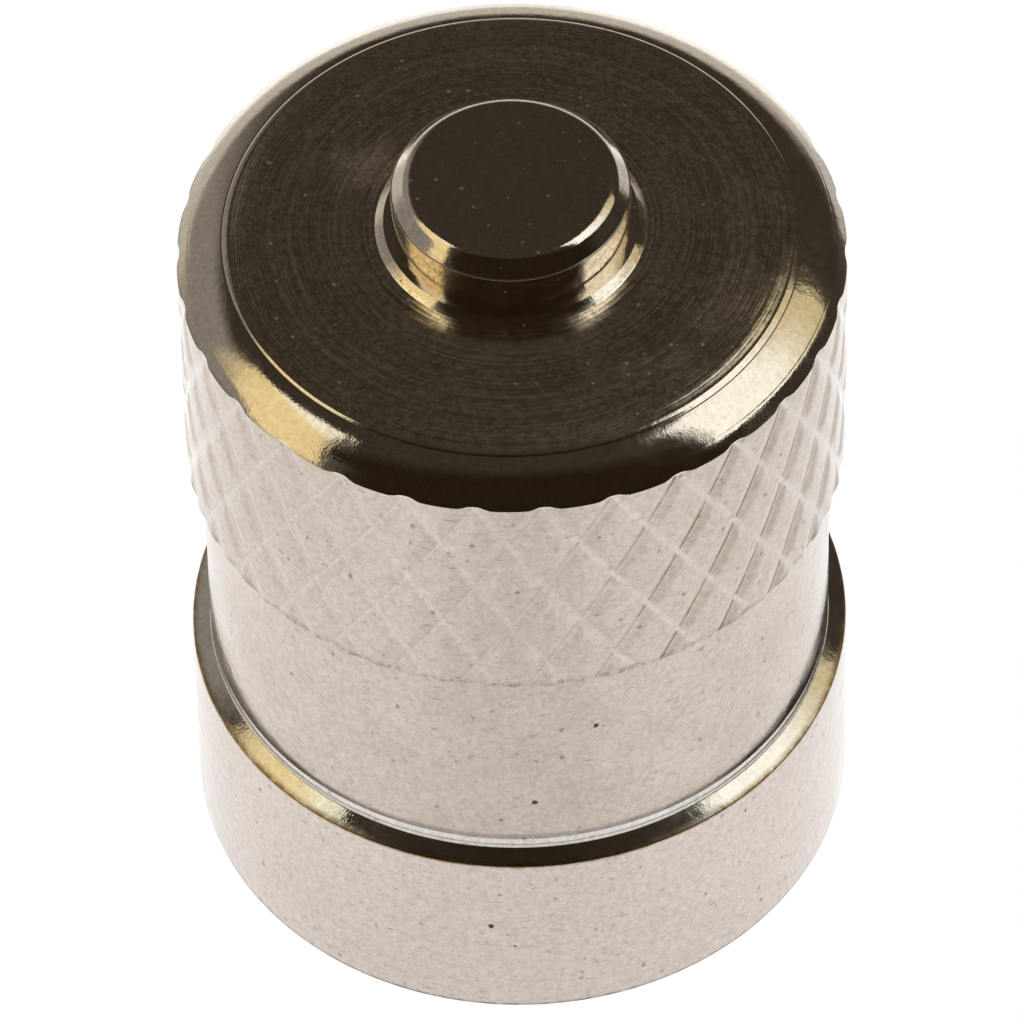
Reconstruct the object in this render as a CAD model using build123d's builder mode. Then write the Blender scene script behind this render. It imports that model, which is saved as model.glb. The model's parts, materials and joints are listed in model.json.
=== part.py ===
"""Tyre valve cap: a turned and knurled metal cap with a rubber sealing washer inside.

Millimetres, +Z up. The cap stands on its open end, with the origin in the middle of its mouth.
"""

import os
from math import degrees, pi, radians, tan

from build123d import *

# Valve thread, its lead-in at the mouth and the metal left above the bore
thread_radius = 3.90
thread_depth = 0.35
lead_in = 0.5
top_wall = 1.926

# Washer, and its seat behind the thread
washer_thickness = 1.2
washer_hole_radius = 1.4
washer_clearance = 0.05
seat_undercut = 0.05
seat_relief = 0.8

# Turned outside: collar, neck, knurled band, rounded rim, fine step and domed top
collar_height = 3.58
collar_step = 0.28
collar_edge = 0.08
neck_wall = 0.87
neck_length = 4.32
neck_flank_angle = 24.7
neck_fillet = 0.12
knurl_step = 0.245
knurl_height = 4.21
rim_width = 0.62
rim_rise = 0.416
rim_bulge = 0.047
step_width = 0.11
step_rise = 0.059
dome_rise = 0.235

# Nub in the middle of the top, on a low sloping foot, with a fine ledge below its tapered end
nub_radius = 1.81
nub_wall_height = 0.745
nub_foot_width = 0.12
nub_foot_rise = 0.08
nub_foot_angle = 50
nub_ledge = 0.025
nub_taper_width = 0.205
nub_taper_rise = 0.28
nub_edge_fillet = 0.16

# Diamond knurl: two sets of shallow helical V grooves, which cross just above the band's upper edge
groove_count = 30
groove_helix_angle = 30
groove_overrun = 0.3
groove_depth = 0.055
groove_angle = 134
crossing_rise = 0.02
crossing_turn = -2.8

# Radii and heights that follow from the sizes above
bore_radius = thread_radius - thread_depth
seat_radius = thread_radius + seat_undercut
washer_radius = seat_radius - washer_clearance
neck_radius = seat_radius + neck_wall
collar_radius = neck_radius + collar_step
knurl_radius = neck_radius + knurl_step
rim_radius = knurl_radius - rim_width
dome_radius = rim_radius - step_width
nub_foot_radius = nub_radius + nub_foot_width
nub_taper_radius = nub_radius - nub_ledge
nub_top_radius = nub_taper_radius - nub_taper_width

flank_slope = tan(radians(neck_flank_angle))
neck_bottom = collar_height + collar_step * flank_slope
knurl_bottom = collar_height + neck_length
neck_top = knurl_bottom - knurl_step * flank_slope
knurl_top = knurl_bottom + knurl_height
rim_top = knurl_top + rim_rise
dome_bottom = rim_top + step_rise
dome_top = dome_bottom + dome_rise
nub_foot_top = dome_top + nub_foot_rise
nub_root_radius = nub_foot_radius + (nub_foot_top - rim_top) * tan(radians(nub_foot_angle))
nub_wall_top = dome_top + nub_wall_height
nub_top = nub_wall_top + nub_taper_rise
seat_top = rim_top - top_wall
washer_bottom = seat_top - washer_thickness
seat_bottom = washer_bottom - seat_relief

# How far round a groove turns from its lower end up to the crossing
groove_climb = groove_overrun + knurl_height + crossing_rise
groove_turn = degrees(groove_climb * tan(radians(groove_helix_angle)) / knurl_radius)


def knurl_groove(lefthand):
    """One helical V groove, long enough to run out past both ends of the knurled band."""
    section_height = 2 * groove_depth
    section_half_width = section_height * tan(radians(groove_angle / 2))
    with BuildPart() as groove:
        with BuildLine():
            path = Helix(
                pitch=2 * pi * knurl_radius / tan(radians(groove_helix_angle)),
                height=knurl_height + 2 * groove_overrun,
                radius=knurl_radius - groove_depth,
                center=(0, 0, knurl_bottom - groove_overrun),
                lefthand=lefthand,
            )
        with BuildSketch(Plane(origin=path @ 0, x_dir=(1, 0, 0), z_dir=path % 0)):
            with BuildLine():
                Polyline(
                    (0, 0),
                    (section_height, -section_half_width),
                    (section_height, section_half_width),
                    close=True,
                )
            make_face()
        sweep(path=path, is_frenet=True)
    return groove.part


with BuildPart() as cap_body:
    # Turned outside, with the nub as part of the same section
    with BuildSketch(Plane.XZ) as outside:
        with BuildLine():
            Polyline(
                (0, dome_top),
                (0, 0),
                (collar_radius, 0),
                (collar_radius, collar_height),
                (neck_radius, neck_bottom),
                (neck_radius, neck_top),
                (knurl_radius, knurl_bottom),
                (knurl_radius, knurl_top),
            )
            SagittaArc((knurl_radius, knurl_top), (rim_radius, rim_top), -rim_bulge)
            Line((rim_radius, rim_top), (dome_radius, dome_bottom))
            TangentArc((0, dome_top), (dome_radius, dome_bottom), tangent=(1, 0))
        make_face()
        with BuildLine():
            Polyline(
                (0, rim_top),
                (nub_root_radius, rim_top),
                (nub_foot_radius, nub_foot_top),
                (nub_radius, nub_foot_top),
                (nub_radius, nub_wall_top),
                (nub_taper_radius, nub_wall_top),
                (nub_top_radius, nub_top),
                (0, nub_top),
                close=True,
            )
        make_face()
        corners = outside.vertices()
        fillet(corners.sort_by_distance((nub_top_radius, nub_top))[0], nub_edge_fillet)
        fillet(corners.sort_by_distance((neck_radius, neck_bottom))[0], neck_fillet)
        fillet(corners.sort_by_distance((neck_radius, neck_top))[0], neck_fillet)
        chamfer(corners.sort_by_distance((collar_radius, 0))[0], collar_edge)
    revolve(axis=Axis.Z)
    # Lead-in, threaded bore and washer seat
    with BuildSketch(Plane.XZ):
        with BuildLine():
            Polyline(
                (0, 0),
                (bore_radius + lead_in, 0),
                (bore_radius, lead_in),
                (bore_radius, seat_bottom),
                (seat_radius, seat_bottom),
                (seat_radius, seat_top),
                (0, seat_top),
                close=True,
            )
        make_face()
    revolve(axis=Axis.Z, mode=Mode.SUBTRACT)
    # Diamond knurl
    right_hand_groove = knurl_groove(lefthand=False)
    with PolarLocations(0, groove_count, start_angle=crossing_turn - groove_turn):
        add(right_hand_groove, mode=Mode.SUBTRACT)
    left_hand_groove = knurl_groove(lefthand=True)
    with PolarLocations(0, groove_count, start_angle=crossing_turn + groove_turn):
        add(left_hand_groove, mode=Mode.SUBTRACT)

with BuildPart() as sealing_washer:
    with BuildSketch(Plane.XY.offset(washer_bottom)):
        Circle(washer_radius)
        Circle(washer_hole_radius, mode=Mode.SUBTRACT)
    extrude(amount=washer_thickness)

os.makedirs("parts", exist_ok=True)
cap_body.part.label = "cap_body"
export_step(cap_body.part, "parts/cap_body.step")
sealing_washer.part.label = "sealing_washer"
export_step(sealing_washer.part, "parts/sealing_washer.step")
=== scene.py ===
"""Looks of a tyre valve cap: turned, knurled and nickel-plated brass, standing on its open end."""

import json
from math import cos, pi, radians, sin, tan

import bmesh
import bpy
from mathutils import Matrix, Vector


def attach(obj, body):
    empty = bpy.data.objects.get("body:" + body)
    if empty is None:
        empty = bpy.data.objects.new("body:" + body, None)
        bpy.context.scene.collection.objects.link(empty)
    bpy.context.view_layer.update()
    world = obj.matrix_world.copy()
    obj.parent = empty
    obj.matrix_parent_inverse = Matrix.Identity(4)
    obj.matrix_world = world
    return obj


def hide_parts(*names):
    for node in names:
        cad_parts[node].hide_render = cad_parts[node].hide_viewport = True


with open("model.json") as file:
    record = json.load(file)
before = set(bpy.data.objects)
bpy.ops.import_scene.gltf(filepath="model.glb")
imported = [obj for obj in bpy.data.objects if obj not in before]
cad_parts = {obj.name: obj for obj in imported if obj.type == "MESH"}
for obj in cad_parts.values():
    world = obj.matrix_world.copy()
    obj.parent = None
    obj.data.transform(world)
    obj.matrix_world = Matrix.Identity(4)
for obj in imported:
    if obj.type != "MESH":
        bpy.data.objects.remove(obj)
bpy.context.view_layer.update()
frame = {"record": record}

# Cap body
# One piece of brass turned on a lathe: collar, neck, knurled grip, rounded rim, domed top and nub. Two
# crossing wheels roll the knurl, a tap cuts the valve thread inside, and then it is all nickel plated.

# Sizes in millimetres, as on the drawing of the cap
MM = 0.001
collar_radius = 5.10
collar_top = 3.58
collar_chamfer = 0.08
neck_radius = 4.82
neck_bottom = 3.709
neck_top = 7.837
flank_lean = radians(24.7)
corner_rounding = 0.064
knurl_radius = 5.065
knurl_bottom = 7.95
knurl_top = 12.11
rim_curve = 1.507
rim_lean_low = radians(41.8)
rim_lean_high = radians(70.5)
dome_radius = 4.125
dome_top = 12.82
dome_fall = 0.199
nub_radius = 1.81
nub_foot_radius = 1.93
nub_foot_top = 12.90
nub_ledge_height = 13.585
nub_top_radius = 1.572
nub_top = 13.845
bore_radius = frame["record"]["mounts"][0]["dims"]["r_mm"]
thread_root_radius = 3.90
thread_pitch = 0.794
lead_in = 0.5
seat_radius = 3.95
seat_bottom = 8.6
seat_top = 10.6
turned_steps = 300


def spin_profile(name, corners):
    """A turned shell: corners of radius, height and rounding, drawn as a line and spun round the axis."""
    bpy.ops.object.select_all(action="DESELECT")
    bpy.ops.mesh.primitive_plane_add()
    shell = bpy.context.object
    shell.name = name
    bpy.ops.object.mode_set(mode="EDIT")
    bpy.ops.mesh.merge(type="CENTER")
    pen = Vector((corners[0][0], 0, corners[0][1]))
    bpy.ops.transform.translate(value=pen)
    for radius, height, rounding in corners[1:]:
        place = Vector((radius, 0, height))
        bpy.ops.mesh.extrude_region_move(TRANSFORM_OT_translate={"value": place - pen})
        pen = place
    for radius, height, rounding in corners:
        if rounding:
            edit = bmesh.from_edit_mesh(shell.data)
            corner = min(edit.verts, key=lambda v: (v.co - Vector((radius, 0, height))).length)
            bpy.ops.mesh.select_all(action="DESELECT")
            corner.select_set(True)
            bmesh.update_edit_mesh(shell.data)
            bpy.ops.mesh.bevel(offset=rounding, segments=8, affect="VERTICES")
    bpy.ops.mesh.select_all(action="SELECT")
    bpy.ops.mesh.spin(steps=turned_steps, angle=2 * pi, center=(0, 0, 0), axis=(0, 0, 1))
    bpy.ops.mesh.select_all(action="SELECT")
    bpy.ops.mesh.remove_doubles(threshold=0.0005)
    bpy.ops.object.mode_set(mode="OBJECT")
    return shell


def bridge_gap(low, high):
    """Joins the two open rings that lie between two heights."""
    edit = bmesh.from_edit_mesh(bpy.context.object.data)
    bpy.ops.mesh.select_all(action="DESELECT")
    for edge in edit.edges:
        if edge.is_boundary and all(low < v.co.z < high for v in edge.verts):
            edge.select_set(True)
    bmesh.update_edit_mesh(bpy.context.object.data)
    bpy.ops.mesh.bridge_edge_loops()


def rim_point(lean):
    """Radius and height on the rounded rim, where its surface leans back by an angle from upright."""
    radius = knurl_radius + rim_curve * (cos(lean) - cos(rim_lean_low))
    height = knurl_top + rim_curve * (sin(lean) - sin(rim_lean_low))
    return radius, height


def dome_height(radius):
    """Height of the slightly domed top at a radius."""
    return dome_top - dome_fall * (radius / dome_radius) ** 3


def groove_sink(distance):
    """Depth of a knurl groove with a flat bottom and rounded flanks, at a distance from its middle."""
    share = min(max(distance - groove_floor, 0) / (groove_half_width - groove_floor), 1)
    return groove_depth * (1 - share * share * (3 - 2 * share))


# Knurled grip: one low diamond between shallow grooves, repeated into a net and wrapped round
knurl_count = 30
knurl_helix = radians(30)
groove_depth = 0.030
groove_floor = 0.04
groove_half_width = 0.22
diamond_crown = 0.010
crossing_height = 12.13
crossing_turn = radians(4.6 - 90)
diamond_half_width = pi * knurl_radius / knurl_count
diamond_half_height = diamond_half_width / tan(knurl_helix)
groove_spacing = 2 * diamond_half_width * cos(knurl_helix)
rows_below = 5
knurl_rows = rows_below + 2

bpy.ops.object.select_all(action="DESELECT")
bpy.ops.mesh.primitive_grid_add(x_subdivisions=16, y_subdivisions=16, size=2)
cap = bpy.context.object
cap.name = "turned_cap"
for vertex in cap.data.vertices:
    across = sin(vertex.co.x * pi / 2)
    along = sin(vertex.co.y * pi / 2)
    nearest = 1 - max(abs(across), abs(along))
    crown = diamond_crown * (across * across + along * along) / 2
    vertex.co.x = diamond_half_width * (across - along) / 2
    vertex.co.y = diamond_half_height * (across + along) / 2
    vertex.co.z = -groove_sink(nearest * groove_spacing / 2) - crown

row = cap.modifiers.new("row", "ARRAY")
row.count = knurl_count
row.use_relative_offset = False
row.use_constant_offset = True
row.constant_offset_displace = (2 * diamond_half_width, 0, 0)
net = cap.modifiers.new("net", "ARRAY")
net.count = knurl_rows
net.use_relative_offset = False
net.use_constant_offset = True
net.constant_offset_displace = (diamond_half_width, diamond_half_height, 0)
bpy.ops.object.modifier_apply(modifier="row")
bpy.ops.object.modifier_apply(modifier="net")

first_turn = crossing_turn * knurl_radius - diamond_half_width * (1 + rows_below)
first_height = crossing_height - diamond_half_height * rows_below
rim_start_lean = rim_lean_low + radians(6.2)
rim_cut = Vector((0, *rim_point(rim_start_lean))) - Vector((0, knurl_radius, knurl_top))
bpy.ops.object.mode_set(mode="EDIT")
bpy.ops.mesh.select_all(action="SELECT")
bpy.ops.transform.translate(value=(first_turn, first_height, 0))
bpy.ops.mesh.remove_doubles(threshold=0.0005)
bpy.ops.mesh.bisect(
    plane_co=(0, knurl_top, 0), plane_no=(0, -rim_cut.y, rim_cut.z), clear_outer=True, threshold=0.00001
)
bpy.ops.mesh.select_all(action="SELECT")
bpy.ops.mesh.bisect(
    plane_co=(0, knurl_bottom, 0),
    plane_no=(0, -cos(flank_lean), sin(flank_lean)),
    clear_outer=True,
    threshold=0.00001,
)
bpy.ops.object.mode_set(mode="OBJECT")
for vertex in cap.data.vertices:
    turn = vertex.co.x / knurl_radius
    radius = knurl_radius + vertex.co.z
    vertex.co = (radius * cos(turn), radius * sin(turn), vertex.co.y)

# Rim, domed top and nub, from the edge of the knurl to the middle
rim_steps = 10
rim_turn = rim_lean_high - rim_start_lean
rim_leans = [rim_start_lean + rim_turn * i / rim_steps for i in range(rim_steps + 1)]
rim_line_lean = radians(51.2)
rim_line_width = radians(0.6)
rim_line_depth = 0.002
low_ledge_radius = 4.390
low_ledge_width = 0.018
low_ledge_height = 12.5445
step_bend_radius = 4.340
step_bend_height = 12.5675
high_ledge_radius = 4.285
high_ledge_width = 0.030
high_ledge_height = 12.5875
ledge_rise = 0.001
low_ledge_rounding = 0.006
step_rounding = 0.012
high_ledge_rounding = 0.010
dome_edge_rounding = 0.040
dome_radii = (4.0, 3.6, 3.2, 2.8, 2.4)
nub_ring_rise = 0.005
nub_ledge = 0.025
nub_ledge_rise = 0.004
nub_ledge_rounding = 0.008
nub_taper_rounding = 0.004
nub_edge_rounding = 0.100
nub_middle = 0.8
foot_drop = 0.105
foot_lean = radians(50)
foot_radius = nub_foot_radius + foot_drop * tan(foot_lean)
dome_edge_height = dome_height(dome_radius)
line_radius, line_height = rim_point(rim_line_lean)
rim_line = [
    (*rim_point(rim_line_lean - rim_line_width), 0),
    (
        line_radius - rim_line_depth * cos(rim_line_lean),
        line_height - rim_line_depth * sin(rim_line_lean),
        0,
    ),
    (*rim_point(rim_line_lean + rim_line_width), 0),
]
top_corners = [(*rim_point(lean), 0) for lean in rim_leans if lean < rim_line_lean - rim_line_width]
top_corners += rim_line
top_corners += [(*rim_point(lean), 0) for lean in rim_leans if lean > rim_line_lean + rim_line_width]
top_corners += [
    (low_ledge_radius, low_ledge_height, low_ledge_rounding),
    (low_ledge_radius - low_ledge_width, low_ledge_height + ledge_rise, low_ledge_rounding),
    (step_bend_radius, step_bend_height, step_rounding),
    (high_ledge_radius, high_ledge_height, high_ledge_rounding),
    (high_ledge_radius - high_ledge_width, high_ledge_height + ledge_rise, step_rounding),
    (dome_radius, dome_edge_height, dome_edge_rounding),
]
top_corners += [(radius, dome_height(radius), 0) for radius in dome_radii]
top_corners += [
    (foot_radius, nub_foot_top - foot_drop, 0),
    (nub_foot_radius, nub_foot_top, 0),
    (nub_radius, nub_foot_top + nub_ring_rise, 0),
    (nub_radius, nub_ledge_height, nub_ledge_rounding),
    (nub_radius - nub_ledge, nub_ledge_height + nub_ledge_rise, nub_taper_rounding),
    (nub_top_radius, nub_top, nub_edge_rounding),
    (nub_middle, nub_top, 0),
    (0, nub_top, 0),
]
top_shell = spin_profile("top_shell", top_corners)

# Neck and collar, from the knurl down to the mouth, with two fine tool marks at the neck's foot
flank_start = 0.125
neck_rings = (6.4, 5.1)
neck_foot_rounding = 0.015
collar_rings = (2.3, 1.2)
collar_edge_rounding = 0.025
chamfer_rounding = 0.03
tool_mark_spans = ((0.21, 0.11), (0.07, 0.02))
tool_mark_lean = radians(19)
tool_mark_edge = 0.002
tool_marks = []
for top, bottom in tool_mark_spans:
    tool_marks += [
        (neck_radius, neck_bottom + top, 0),
        (neck_radius - (top - bottom) * tan(tool_mark_lean), neck_bottom + top - tool_mark_edge, 0),
        (neck_radius, neck_bottom + bottom, 0),
    ]
side_corners = [
    (knurl_radius - flank_start, knurl_bottom - flank_start * tan(flank_lean), 0),
    (neck_radius, neck_top, corner_rounding),
    *[(neck_radius, ring_height, 0) for ring_height in neck_rings],
    *tool_marks,
    (neck_radius, neck_bottom, neck_foot_rounding),
    (collar_radius, collar_top, collar_edge_rounding),
    *[(collar_radius, ring_height, 0) for ring_height in collar_rings],
    (collar_radius, collar_chamfer, chamfer_rounding),
    (collar_radius - collar_chamfer, 0, chamfer_rounding),
    (bore_radius + lead_in, 0, 0),
]
side_shell = spin_profile("side_shell", side_corners)

# Washer seat and the blind end of the bore
seat_middle = 1.5
seat_corners = [
    (seat_radius, seat_bottom, 0),
    (seat_radius, seat_top, 0),
    (seat_middle, seat_top, 0),
    (0, seat_top, 0),
]
seat_shell = spin_profile("seat_shell", seat_corners)

# Valve thread: one tooth drawn, carried round and up the bore, and cut level at both ends
thread_flank = (thread_root_radius - bore_radius) * tan(radians(30))
thread_flat = (thread_pitch - 2 * thread_flank) / 2
thread_turns = 12
bpy.ops.object.select_all(action="DESELECT")
bpy.ops.mesh.primitive_plane_add()
thread = bpy.context.object
thread.name = "valve_thread"
bpy.ops.object.mode_set(mode="EDIT")
bpy.ops.mesh.merge(type="CENTER")
bpy.ops.transform.translate(value=(bore_radius, 0, -thread_pitch))
for step in (
    (0, 0, thread_flat),
    (thread_root_radius - bore_radius, 0, thread_flank),
    (0, 0, thread_flat),
    (bore_radius - thread_root_radius, 0, thread_flank),
):
    bpy.ops.mesh.extrude_region_move(TRANSFORM_OT_translate={"value": step})
bpy.ops.object.mode_set(mode="OBJECT")
climb = thread.modifiers.new("climb", "SCREW")
climb.axis = "Z"
climb.angle = 2 * pi
climb.screw_offset = thread_pitch
climb.iterations = thread_turns
climb.steps = 120
climb.render_steps = 120
bpy.ops.object.modifier_apply(modifier="climb")
bpy.ops.object.mode_set(mode="EDIT")
bpy.ops.mesh.select_all(action="SELECT")
bpy.ops.mesh.remove_doubles(threshold=0.0005)
bpy.ops.mesh.bisect(plane_co=(0, 0, lead_in), plane_no=(0, 0, -1), clear_outer=True, threshold=0.00001)
bpy.ops.mesh.select_all(action="SELECT")
bpy.ops.mesh.bisect(plane_co=(0, 0, seat_bottom), plane_no=(0, 0, 1), clear_outer=True, threshold=0.00001)
bpy.ops.object.mode_set(mode="OBJECT")

# All joined into one closed shell, and brought to metres
for shell in (top_shell, side_shell, seat_shell, thread):
    shell.select_set(True)
cap.select_set(True)
bpy.context.view_layer.objects.active = cap
bpy.ops.object.join()
bpy.ops.object.mode_set(mode="EDIT")
bpy.ops.mesh.select_all(action="SELECT")
bpy.ops.mesh.remove_doubles(threshold=0.0005)
bridge_gap(knurl_top - 0.21, knurl_top + 0.49)
bridge_gap(knurl_bottom - 0.2, knurl_bottom + 0.1)
bridge_gap(-0.1, lead_in + 0.1)
bridge_gap(seat_bottom - 0.1, seat_bottom + 0.1)
bpy.ops.mesh.select_all(action="SELECT")
bpy.ops.mesh.normals_make_consistent(inside=False)
bpy.ops.object.mode_set(mode="OBJECT")
cap.data.transform(Matrix.Scale(MM, 4))
bpy.ops.object.shade_smooth_by_angle(angle=radians(24))


class Finish:
    """A material in the making: each call adds one node, with its inputs given as values or as links."""

    def __init__(self, material):
        material.use_nodes = True
        self.tree = material.node_tree
        self.tree.nodes.clear()

    def node(self, kind, inputs, **settings):
        made = self.tree.nodes.new("ShaderNode" + kind)
        for name, value in settings.items():
            setattr(made, name, value)
        for key, value in inputs.items():
            if isinstance(value, bpy.types.NodeSocket):
                self.tree.links.new(value, made.inputs[key])
            else:
                made.inputs[key].default_value = value
        return made

    def math(self, operation, first, second=0.0, third=0.0):
        return self.node("Math", {0: first, 1: second, 2: third}, operation=operation).outputs[0]

    def ramp(self, value, start, end, low=0.0, high=1.0):
        inputs = {"Value": value, "From Min": start, "From Max": end, "To Min": low, "To Max": high}
        return self.node("MapRange", inputs, interpolation_type="SMOOTHSTEP").outputs["Result"]

    def mix(self, share, first, second):
        inputs = {"Factor": share, 6: first, 7: second}
        return self.node("Mix", inputs, data_type="RGBA").outputs[2]

    def noise(self, place, scale, detail=2.0, roughness=0.5):
        inputs = {"Vector": place, "Scale": scale, "Detail": detail, "Roughness": roughness}
        return self.node("TexNoise", inputs).outputs["Fac"]

    def place_mm(self):
        """Object coordinates in millimetres, with their radius round the axis and their height."""
        place = self.node("TexCoord", {}).outputs["Object"]
        scaled = self.node("VectorMath", {0: place, "Scale": 1 / MM}, operation="SCALE").outputs[0]
        parts = self.node("SeparateXYZ", {0: scaled}).outputs
        flat = self.node("CombineXYZ", {"X": parts["X"], "Y": parts["Y"], "Z": 0.0}).outputs[0]
        radius = self.node("VectorMath", {0: flat}, operation="LENGTH").outputs["Value"]
        return scaled, radius, parts["Z"]


# Nickel over brass: greyish on the walls, bright on the shoulder and warmer on the rim and top
wall_grey = (0.514, 0.448, 0.402, 1)
wall_beige = (0.472, 0.400, 0.345, 1)
# Painted light: the collar's paler colour stands in for the brighter reflection it shows
collar_painted_light = (0.590, 0.530, 0.490, 1)
# Painted light and painted shade for the tool marks at the neck's foot
foot_painted_light = (0.600, 0.575, 0.550, 1)
foot_painted_shade = (0.230, 0.220, 0.215, 1)
# Painted light: the grooves' pale colour stands in for the white card they mirror
groove_painted_light = (0.545, 0.505, 0.470, 1)
crest_beige = (0.490, 0.425, 0.374, 1)
shoulder_bright = (0.720, 0.660, 0.560, 1)
top_warm = (0.720, 0.635, 0.515, 1)
# Brown for real specks on the walls, and for the painted shade on the groove flanks
speck_and_shade_brown = (0.200, 0.140, 0.090, 1)
# Brown for a dark line along the knurl's lower edge, and for a painted contact shadow round the collar's
# bottom
edge_line_and_shadow_brown = (0.150, 0.095, 0.050, 1)
worn_brass = (0.300, 0.190, 0.065, 1)
pit_black = (0.045, 0.032, 0.022, 1)
dust_pale = (0.420, 0.380, 0.300, 1)
stain_brown = (0.200, 0.135, 0.070, 1)

nickel = bpy.data.materials.new("nickel_plate")
finish = Finish(nickel)
place, radius, height = finish.place_mm()
on_top = finish.ramp(height, knurl_top - 0.01, knurl_top + 0.05)
off_top = finish.math("SUBTRACT", 1.0, on_top)
on_dome = finish.math(
    "MULTIPLY",
    finish.ramp(height, dome_edge_height - 0.051, dome_edge_height - 0.021),
    finish.ramp(height, dome_top + 0.03, dome_top),
)
in_band = finish.math("MULTIPLY", finish.ramp(height, knurl_bottom - 0.06, knurl_bottom), off_top)
collar_light_share = finish.ramp(height, neck_bottom, collar_top - 0.1)
under_neck = finish.ramp(height, neck_bottom + 0.02, neck_bottom - 0.01)
below_marks = finish.ramp(height, neck_bottom + 0.24, neck_bottom + 0.18)
foot_light_share = finish.math("SUBTRACT", below_marks, under_neck)
above_collar = finish.ramp(height, collar_top - 0.02, collar_top + 0.01)
on_shoulder = finish.math("MULTIPLY", under_neck, above_collar)
on_wall = finish.math("SUBTRACT", off_top, on_shoulder)
flat_place = finish.node("VectorMath", {0: place, 1: (1, 1, 2.2)}, operation="MULTIPLY").outputs[0]

# Grooves of the knurl, from where on its diamond a point lies, with painted light and painted shade in them
tile = finish.node("SeparateXYZ", {0: finish.node("UVMap", {}, uv_map="UVMap").outputs[0]}).outputs
across = finish.math("MULTIPLY_ADD", tile["X"], 2.0, -1.0)
along = finish.math("MULTIPLY_ADD", tile["Y"], 2.0, -1.0)
sideways = finish.node("SeparateXYZ", {0: place}).outputs["X"]
to_right = finish.ramp(sideways, -4.2, -1.8)


def groove_light_band(way, broad):
    """How far a point lies in the painted light of one set of grooves, painted broad on one side of the cap
    and thin on the other.
    """
    thin_band = finish.ramp(finish.math("ABSOLUTE", way), 0.70, 0.94)
    broad_band = finish.ramp(finish.math("ABSOLUTE", way), 0.52, 0.84)
    return finish.math("MULTIPLY_ADD", broad, finish.math("SUBTRACT", broad_band, thin_band), thin_band)


def groove_flank_shade(way, other_way, share):
    """Painted shade in one set of grooves, a dark line on one flank and a brown stripe on the other, where
    it lies between grooves of the other set."""
    line = finish.math("MULTIPLY", finish.ramp(way, -0.98, -0.86), finish.ramp(way, -0.58, -0.74))
    stripe = finish.math("MULTIPLY", finish.ramp(way, 0.28, 0.50), finish.ramp(way, 0.95, 0.84))
    flank_shade = finish.math("MULTIPLY_ADD", stripe, 0.36, finish.math("MULTIPLY", line, 1.25))
    between = finish.ramp(finish.math("ABSOLUTE", other_way), 0.80, 0.64)
    flank_shade = finish.math("MULTIPLY", flank_shade, between)
    return finish.math("MULTIPLY", flank_shade, finish.math("MULTIPLY", share, in_band))


to_left = finish.math("SUBTRACT", 1.0, to_right)
groove_light_share = finish.math("MAXIMUM", groove_light_band(across, to_right), groove_light_band(along, to_left))
groove_light_share = finish.math("MULTIPLY", groove_light_share, in_band)
patchy = finish.ramp(finish.noise(place, 2.2, 3.0, 0.65), 0.32, 0.62, 0.55, 1.0)
# Painted shade on the groove flanks, strong on the right of the cap and faint on the left
right_groove_shade = groove_flank_shade(along, across, finish.ramp(sideways, 0.4, 3.4, 0.12, 1.0))
left_groove_shade = groove_flank_shade(across, along, finish.ramp(sideways, -0.8, -4.4, 0.0, 0.25))
groove_shade = finish.math("MULTIPLY", finish.math("ADD", right_groove_shade, left_groove_shade), patchy)

# Colour: cloudy walls, painted light on the collar and grooves, painted shade in the grooves and at the
# neck's foot, bright shoulder, warm top
clouds = finish.ramp(finish.noise(place, 0.9, 5.0, 0.72), 0.36, 0.66)
colour = finish.mix(clouds, wall_grey, wall_beige)
# Painted light: the collar is painted paler than the neck, for the brighter reflection it shows
colour = finish.mix(finish.math("MULTIPLY", collar_light_share, 0.6), colour, collar_painted_light)
colour = finish.mix(finish.math("MULTIPLY", in_band, 0.6), colour, crest_beige)
# Painted light: the grooves painted paler, for the card they mirror
colour = finish.mix(finish.math("MULTIPLY", groove_light_share, 0.6), colour, groove_painted_light)
# Painted shade: the groove flanks darkened brown
colour = finish.mix(groove_shade, colour, speck_and_shade_brown)
# Painted light: a pale band over the tool marks at the neck's foot
colour = finish.mix(foot_light_share, colour, foot_painted_light)
# Painted shade: two grey lines at the tool marks
for low, middle, high, share in ((0.20, 0.28, 0.36, 0.62), (0.04, 0.065, 0.09, 0.7)):
    low_side = finish.ramp(height, neck_bottom + low, neck_bottom + middle, 0.0, share)
    high_side = finish.ramp(height, neck_bottom + high, neck_bottom + middle)
    colour = finish.mix(finish.math("MULTIPLY", low_side, high_side), colour, foot_painted_shade)
colour = finish.mix(on_shoulder, colour, shoulder_bright)
colour = finish.mix(on_top, colour, top_warm)

# Fine grain everywhere, then brown specks, thin scratches round the wall and black pits
round_place = finish.node("VectorMath", {0: place, 1: (1, 1, 0.8)}, operation="MULTIPLY").outputs[0]
grain = finish.noise(round_place, 10.0, 3.0, 0.85)
grain_level = finish.ramp(grain, 0.25, 0.75, 0.86, 1.14)
colour = finish.node("VectorMath", {0: colour, "Scale": grain_level}, operation="SCALE").outputs[0]
blot = finish.ramp(finish.noise(round_place, 9.0, 3.0, 0.65), 0.60, 0.78, 0.0, 0.50)
speck = finish.node("TexVoronoi", {"Vector": round_place, "Scale": 3.2})
speck_strength = finish.node("SeparateColor", {0: speck.outputs["Color"]}).outputs[0]
speck_edge = finish.math("MULTIPLY", finish.noise(place, 22.0, 2.0, 0.6), 0.26)
speck_dot = finish.ramp(finish.math("SUBTRACT", speck.outputs["Distance"], speck_edge), 0.02, -0.05)
speck_share = finish.math("MULTIPLY", finish.math("MULTIPLY", speck_dot, speck_strength), 0.8)
scratch_place = finish.node("VectorMath", {0: place, 1: (4.6, 4.6, 24)}, operation="MULTIPLY").outputs[0]
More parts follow.
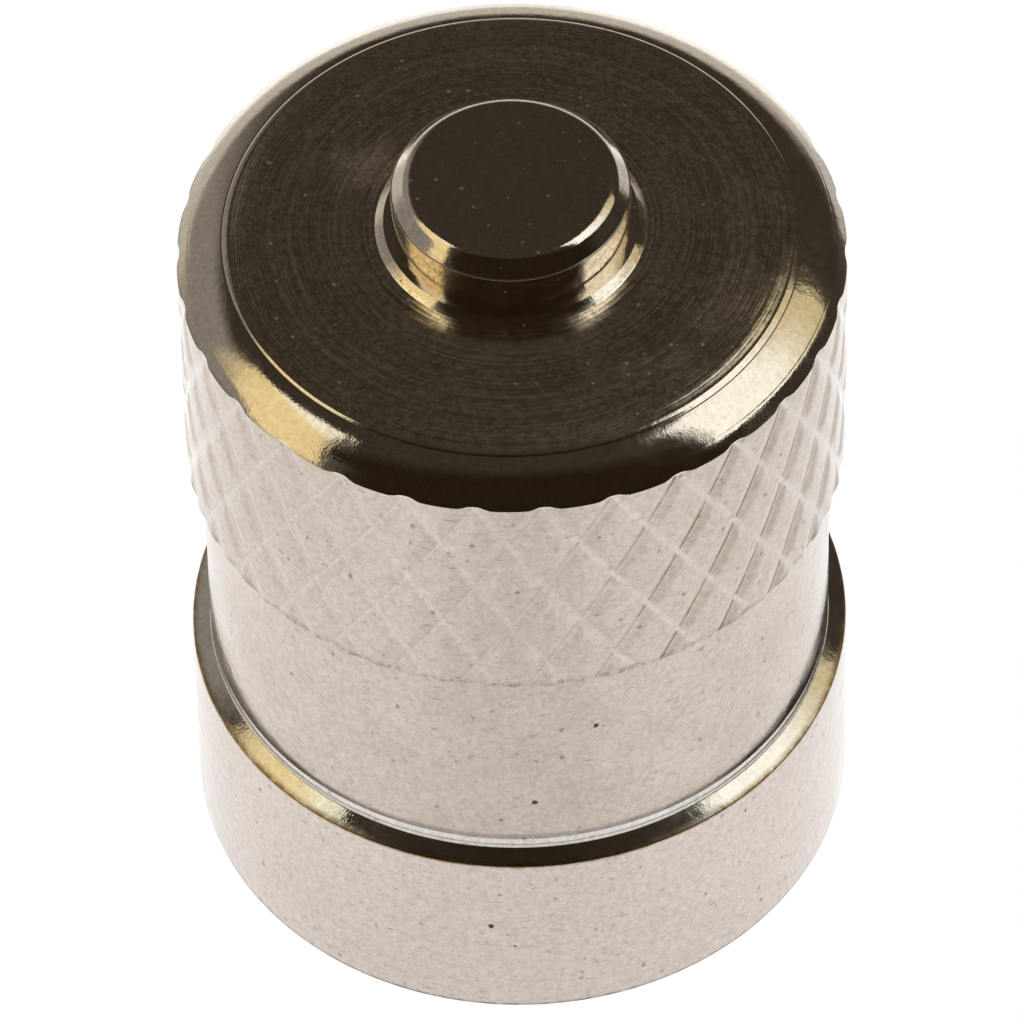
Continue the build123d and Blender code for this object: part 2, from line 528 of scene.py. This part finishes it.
scratch = finish.ramp(finish.noise(scratch_place, 1.0, 3.0, 0.6), 0.59, 0.74, 0.0, 0.65)
marks = finish.math("MAXIMUM", finish.math("MAXIMUM", blot, speck_share), scratch)
marks = finish.math("MULTIPLY", marks, on_wall)
colour = finish.mix(marks, colour, speck_and_shade_brown)
broken = finish.noise(place, 4.5, 4.0, 0.8)
# A dark broken line along the knurl's lower edge, and a painted contact shadow round the collar's bottom
# edge where it meets the card
for low, middle, high, least, most in (
    (knurl_bottom - 0.05, knurl_bottom + 0.03, knurl_bottom + 0.16, 0.0, 0.6),
    (collar_chamfer - 0.06, collar_chamfer + 0.01, collar_chamfer + 0.08, 0.45, 1.0),
):
    edge = finish.math("MULTIPLY", finish.ramp(height, low, middle), finish.ramp(height, high, middle))
    edge = finish.math("MULTIPLY", edge, finish.ramp(broken, 0.40, 0.62, least, most))
    colour = finish.mix(edge, colour, edge_line_and_shadow_brown)
worn = finish.math(
    "MULTIPLY",
    finish.ramp(height, collar_top - 0.05, collar_top - 0.01),
    finish.ramp(height, collar_top + 0.055, collar_top),
)
worn = finish.math("MULTIPLY", worn, finish.ramp(broken, 0.36, 0.62, 0.45, 1.0))
colour = finish.mix(worn, colour, worn_brass)
pit_spots = ((1.13, -4.69, 6.52), (0.17, -4.82, 4.82), (-0.54, -5.07, 2.08), (-0.18, -5.10, 1.60))
pit_ways = [
    finish.node("VectorMath", {0: place, 1: spot}, operation="DISTANCE").outputs["Value"]
    for spot in pit_spots
]
nearest_pit = finish.math("MINIMUM", pit_ways[0], finish.math("MINIMUM", pit_ways[1], pit_ways[2]))
nearest_pit = finish.math("MINIMUM", nearest_pit, finish.math("ADD", pit_ways[3], 0.02))
pit_shape = finish.math("MULTIPLY", finish.noise(place, 16.0, 2.0, 0.6), 0.09)
pit_share = finish.ramp(finish.math("ADD", nearest_pit, pit_shape), 0.105, 0.075)
colour = finish.mix(pit_share, colour, pit_black)

# Dust and a brown stain on the top face
dust = finish.node("TexVoronoi", {"Vector": place, "Scale": 5.5})
dust_size = finish.node("SeparateColor", {0: dust.outputs["Color"]}).outputs[1]
dust_edge = finish.math("MULTIPLY", finish.math("POWER", dust_size, 3.0), 0.19)
on_face = finish.ramp(height, dome_edge_height - 0.021, dome_edge_height + 0.009)
dust_dot = finish.math("LESS_THAN", dust.outputs["Distance"], dust_edge)
dust_amount = finish.ramp(finish.noise(place, 1.3, 2.0, 0.5), 0.35, 0.65, 0.15, 0.6)
dust_share = finish.math("MULTIPLY", finish.math("MULTIPLY", dust_dot, on_face), dust_amount)
stain_spot = (-2.1, 1.2, 12.75)
stain_way = finish.node("VectorMath", {0: place, 1: stain_spot}, operation="DISTANCE").outputs["Value"]
stain_reach = finish.ramp(finish.math("ADD", stain_way, finish.noise(place, 3.0, 2.0, 0.7)), 1.25, 0.55)
stain_share = finish.math("MULTIPLY", stain_reach, finish.math("MULTIPLY", on_dome, 0.35))
colour = finish.mix(stain_share, colour, stain_brown)
colour = finish.mix(dust_share, colour, dust_pale)
dull = finish.math("MAXIMUM", stain_share, finish.math("MULTIPLY", pit_share, 0.7))
dull = finish.math("MAXIMUM", dust_share, dull)
metallic = finish.math("SUBTRACT", 1.0, dull)

# Turning marks in rings on the dome, and the slight unevenness of the plating
ring_place = finish.node("CombineXYZ", {"X": radius}).outputs[0]
wander = finish.math("MULTIPLY_ADD", finish.noise(place, 0.9, 1.0, 0.5), 0.25, radius)
worn_place = finish.node("CombineXYZ", {"X": wander}).outputs[0]
fine_rings = finish.noise(ring_place, 13.0, 3.0, 0.85)
broad_rings = finish.noise(worn_place, 5.0, 2.0, 0.5)
deep_rings = finish.ramp(fine_rings, 0.62, 0.70, 0.0, 0.35)
rings = finish.math("MULTIPLY_ADD", broad_rings, 0.4, finish.math("ADD", fine_rings, deep_rings))
faded = finish.ramp(finish.noise(place, 1.1, 1.0, 0.6), 0.35, 0.65, 0.6, 1.15)
rings = finish.math("SUBTRACT", rings, 0.75)
rings = finish.math("MULTIPLY", rings, finish.math("MULTIPLY", on_dome, faded))
ring_tone = finish.ramp(rings, -0.30, 0.30, 0.56, 1.52)
film = finish.ramp(finish.noise(place, 9.0, 3.0, 0.85), 0.28, 0.72, 0.84, 1.50)
top_tone = finish.math("MULTIPLY_ADD", finish.math("MULTIPLY_ADD", ring_tone, film, -1.0), on_dome, 1.0)
colour = finish.node("VectorMath", {0: colour, "Scale": top_tone}, operation="SCALE").outputs[0]
pebbles = finish.math("MULTIPLY", finish.noise(place, 28.0, 1.0, 0.6), 0.22)
waves = finish.math("MULTIPLY_ADD", finish.noise(place, 2.6, 2.0, 0.5), 1.1, pebbles)
relief = finish.math("MULTIPLY_ADD", rings, 1.2, waves)
bump = finish.node("Bump", {"Strength": 1.0, "Distance": 0.000004, "Height": relief}).outputs["Normal"]
smear = finish.noise(flat_place, 1.6, 2.0, 0.6)
roughness = finish.ramp(smear, 0.3, 0.7, 0.13, 0.22)
polished = finish.math("MULTIPLY", finish.math("ADD", on_top, on_shoulder), 0.085)
roughness = finish.math("SUBTRACT", roughness, polished)
roughness = finish.math("MULTIPLY_ADD", on_dome, 0.08, roughness)
roughness = finish.math("MULTIPLY_ADD", worn, 0.22, roughness)
roughness = finish.math("MULTIPLY_ADD", dull, 0.4, roughness)
metal_inputs = {"Base Color": colour, "Metallic": metallic, "Roughness": roughness, "Normal": bump}
metal = finish.node("BsdfPrincipled", metal_inputs).outputs[0]
finish.node("OutputMaterial", {"Surface": metal})
cap.data.materials.clear()
cap.data.materials.append(nickel)
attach(cap, "root")
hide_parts("cap_body")

# Sealing washer
# A soft black rubber ring, stamped from sheet and pressed up into its seat behind the thread. The end of
# the valve has left a shallow round dent in its lower face.
washer_radius = 3.90
washer_hole_radius = 1.4
washer_bottom = 9.4
washer_edge = 0.12
dent_radius = 2.5
dent_half_floor = 0.2
dent_half_width = 0.45
dent_depth = 0.08
dent_rounding = 0.1
washer_corners = [
    (washer_hole_radius, seat_top, 0),
    (washer_radius, seat_top, washer_edge),
    (washer_radius, washer_bottom, washer_edge),
    (dent_radius + dent_half_width, washer_bottom, dent_rounding),
    (dent_radius + dent_half_floor, washer_bottom + dent_depth, dent_rounding),
    (dent_radius - dent_half_floor, washer_bottom + dent_depth, dent_rounding),
    (dent_radius - dent_half_width, washer_bottom, dent_rounding),
    (washer_hole_radius, washer_bottom, washer_edge),
    (washer_hole_radius, seat_top, 0),
]
washer = spin_profile("rubber_washer", washer_corners)
bpy.ops.object.mode_set(mode="EDIT")
bpy.ops.mesh.select_all(action="SELECT")
bpy.ops.mesh.normals_make_consistent(inside=False)
bpy.ops.object.mode_set(mode="OBJECT")
washer.data.transform(Matrix.Scale(MM, 4))
bpy.ops.object.shade_smooth_by_angle(angle=radians(30))

rubber_black = (0.022, 0.021, 0.020, 1)
rubber_dusty = (0.060, 0.057, 0.053, 1)
rubber = bpy.data.materials.new("washer_rubber")
finish = Finish(rubber)
place = finish.place_mm()[0]
dust = finish.ramp(finish.noise(place, 2.5, 5.0, 0.7), 0.45, 0.75)
colour = finish.mix(dust, rubber_black, rubber_dusty)
grain = finish.noise(place, 18.0, 3.0, 0.6)
bump = finish.node("Bump", {"Strength": 1.0, "Distance": 0.00001, "Height": grain}).outputs["Normal"]
roughness = finish.ramp(dust, 0.0, 1.0, 0.55, 0.8)
soft_inputs = {"Base Color": colour, "Roughness": roughness, "Normal": bump}
soft = finish.node("BsdfPrincipled", soft_inputs).outputs[0]
finish.node("OutputMaterial", {"Surface": soft})
washer.data.materials.clear()
washer.data.materials.append(rubber)
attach(washer, "root")
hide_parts("sealing_washer")

# Floor
# A sheet of white card under the cap, white to the camera. The metal shows it white round the cap and
# dimmer further out, where the lamps no longer reach it. It keeps the faint shadow of the cap.
card_size = 1.0
card_height = -0.00002
card_middle = (0, -0.002, 0)
card_bright = 0.040
card_dim = 0.062
card_white = 0.965
card_grey = (0.3, 0.3, 0.3, 1)
bpy.ops.object.select_all(action="DESELECT")
bpy.ops.mesh.primitive_plane_add(size=card_size, location=(0, 0, card_height))
floor = bpy.context.object
floor.name = "white_card"
bpy.ops.object.mode_set(mode="EDIT")
bpy.ops.mesh.subdivide(number_cuts=8)
bpy.ops.object.mode_set(mode="OBJECT")
card = bpy.data.materials.new("white_card")
card.cycles.emission_sampling = "NONE"
finish = Finish(card)
place = finish.node("TexCoord", {}).outputs["Object"]
parts = finish.node("SeparateXYZ", {0: place}).outputs
off_middle = finish.node("VectorMath", {0: place, 1: card_middle}, operation="DISTANCE").outputs["Value"]
to_left = finish.ramp(parts["X"], 0.02, -0.03, 0.06, 0.50)
to_back = finish.ramp(parts["Y"], -0.05, 0.0, 0.15, 1.0)
behind = finish.ramp(parts["Y"], 0.01, 0.05, 0.0, 0.55)
far_level = finish.math("MAXIMUM", finish.math("MULTIPLY", to_left, to_back), behind)
out_there = finish.ramp(off_middle, card_bright, card_dim)
near_level = finish.math("SUBTRACT", 1.0, out_there)
lit_left = finish.ramp(parts["X"], -0.001, -0.008, 1.0, 1.17)
lit_right = finish.ramp(parts["X"], 0.001, 0.007, 0.0, 0.15)
near_level = finish.math("MULTIPLY", near_level, finish.math("ADD", lit_left, lit_right))
reach = finish.math("ADD", near_level, finish.math("MULTIPLY", out_there, far_level))
light_path = finish.node("LightPath", {}).outputs
mirrored = finish.math("MAXIMUM", light_path["Is Glossy Ray"], light_path["Is Transmission Ray"])
seen = finish.math("MULTIPLY", light_path["Is Camera Ray"], card_white)
glow_level = finish.math("ADD", seen, finish.math("MULTIPLY", mirrored, reach))
glow = finish.node("Emission", {"Color": (1, 1, 1, 1), "Strength": glow_level}).outputs[0]
matt = finish.node("BsdfDiffuse", {"Color": card_grey}).outputs[0]
both = finish.node("AddShader", {0: glow, 1: matt}).outputs[0]
finish.node("OutputMaterial", {"Surface": both})
floor.data.materials.append(card)

# Room
# White behind the cap for the camera. In the metal it is the dim warm room above the card: darkest in
# front, pale low down on the left and where the card sweeps up behind, with a narrow light strip along the
# horizon in front.
room_front = (0.022, 0.015, 0.010, 1)
room_back = (0.049, 0.041, 0.033, 1)
room_left = (0.290, 0.274, 0.268, 1)
room_strip = (0.800, 0.780, 0.760, 1)
sweep_pale = (0.640, 0.605, 0.550, 1)
world = bpy.data.worlds.new("room")
bpy.context.scene.world = world
finish = Finish(world)
towards = finish.node("TexCoord", {}).outputs["Generated"]
parts = finish.node("SeparateXYZ", {0: towards}).outputs
backward = finish.ramp(parts["Y"], -0.36, -0.1)
leftward = finish.ramp(parts["X"], -0.2, -0.6)
not_front = finish.ramp(parts["Y"], -0.55, -0.15)
low_down = finish.ramp(parts["Z"], 0.70, 0.56)
left_share = finish.math("MULTIPLY", finish.math("MULTIPLY", leftward, not_front), low_down)
strip_share = finish.math(
    "MULTIPLY", finish.ramp(parts["Y"], -0.3, -0.5), finish.ramp(parts["Z"], 0.14, 0.07)
)
sweep_share = finish.math(
    "MULTIPLY", finish.ramp(parts["Y"], 0.35, 0.75), finish.ramp(parts["Z"], 0.18, 0.02)
)
sweep_share = finish.math("MULTIPLY", sweep_share, finish.ramp(parts["X"], 0.60, 0.30, 0.08, 1.0))
room = finish.mix(backward, room_front, room_back)
room = finish.mix(left_share, room, room_left)
room = finish.mix(strip_share, room, room_strip)
room = finish.mix(sweep_share, room, sweep_pale)
light_path = finish.node("LightPath", {}).outputs
dim = finish.node("Background", {"Color": room, "Strength": 1.0}).outputs[0]
white = finish.node("Background", {"Color": (1, 1, 1, 1), "Strength": 1.0}).outputs[0]
shown = finish.node("MixShader", {0: light_path["Is Camera Ray"], 1: dim, 2: white}).outputs[0]
finish.node("OutputWorld", {"Surface": shown})

# Lamps
# Two tall soft boxes lean back left and right of the cap, out of the camera's sight. The left one has the
# warmer bulb.
box_distance = 0.15
to_bottom = Vector((0, 0, -1))
to_back = Vector((0, 1, -0.5))


def soft_box(name, side, corners, colour, changes):
    """A lit cloth panel at one side. Its corners are how far back and up they are seen for each step to the
    side. Each change is a way across it, the places it starts and ends, and the colour it ends with."""
    bpy.ops.object.select_all(action="DESELECT")
    bpy.ops.mesh.primitive_plane_add()
    panel = bpy.context.object
    panel.name = name
    for vertex, (back, up) in zip(panel.data.vertices, corners):
        vertex.co = box_distance * Vector((side, back, up))
    bpy.ops.object.mode_set(mode="EDIT")
    bpy.ops.mesh.subdivide(number_cuts=4)
    bpy.ops.object.mode_set(mode="OBJECT")
    panel.visible_camera = False
    cloth = bpy.data.materials.new(name)
    cloth.cycles.emission_sampling = "NONE"
    finish = Finish(cloth)
    place = finish.node("TexCoord", {}).outputs["Object"]
    for way, start, end, next_colour in changes:
        along_way = finish.node("VectorMath", {0: place, 1: way}, operation="DOT_PRODUCT").outputs["Value"]
        fade = finish.ramp(along_way, start * box_distance, end * box_distance)
        colour = finish.mix(fade, colour, next_colour)
    glow = finish.node("Emission", {"Color": colour, "Strength": 1.0}).outputs[0]
    finish.node("OutputMaterial", {"Surface": glow})
    panel.data.materials.append(cloth)


# Plane corners come in rows: front bottom, back bottom, front top, back top
left_corners = ((-0.60, 0.50), (0.30, 0.50), (-0.05, 2.20), (0.40, 1.30))
right_corners = ((-0.45, 0.87), (0.41, 0.40), (0.14, 2.9), (1.65, 2.6))
left_white = (1.18, 1.20, 1.05, 1)
left_gold = (1.07, 0.90, 0.52, 1)
left_dull = (0.50, 0.44, 0.32, 1)
right_white = (1.34, 1.38, 1.38, 1)
right_dull = (0.78, 0.68, 0.45, 1)
right_changes = [(to_back, -0.42, 0.15, right_dull)]
left_changes = [(to_bottom, -1.56, -1.33, left_gold), (to_back, -0.34, -0.02, left_dull)]
soft_box("left_soft_box", -1, left_corners, left_white, left_changes)
soft_box("right_soft_box", 1, right_corners, right_white, right_changes)

# Camera
# A long lens from the front and well above, as the photograph was taken.
camera_rise = radians(50.5)
camera_roll = radians(-1.232)
camera_distance = 0.19349
camera_aim = Vector((-0.000112, 0, 0.006023))
sensor_width = 36
focal_length = 441.5
lens = bpy.data.cameras.new("camera")
lens.sensor_width = sensor_width
lens.lens = focal_length
lens.clip_start = 0.01
lens.clip_end = 10
camera = bpy.data.objects.new("camera", lens)
bpy.context.collection.objects.link(camera)
forward = Vector((0, cos(camera_rise), -sin(camera_rise)))
level = Vector((1, 0, 0))
down = forward.cross(level)
right = cos(camera_roll) * level - sin(camera_roll) * down
below = sin(camera_roll) * level + cos(camera_roll) * down
axes = Matrix((right, -below, -forward)).transposed().to_4x4()
camera.matrix_world = Matrix.Translation(camera_aim - camera_distance * forward) @ axes
bpy.context.scene.camera = camera
bpy.context.scene.view_settings.view_transform = "Standard"
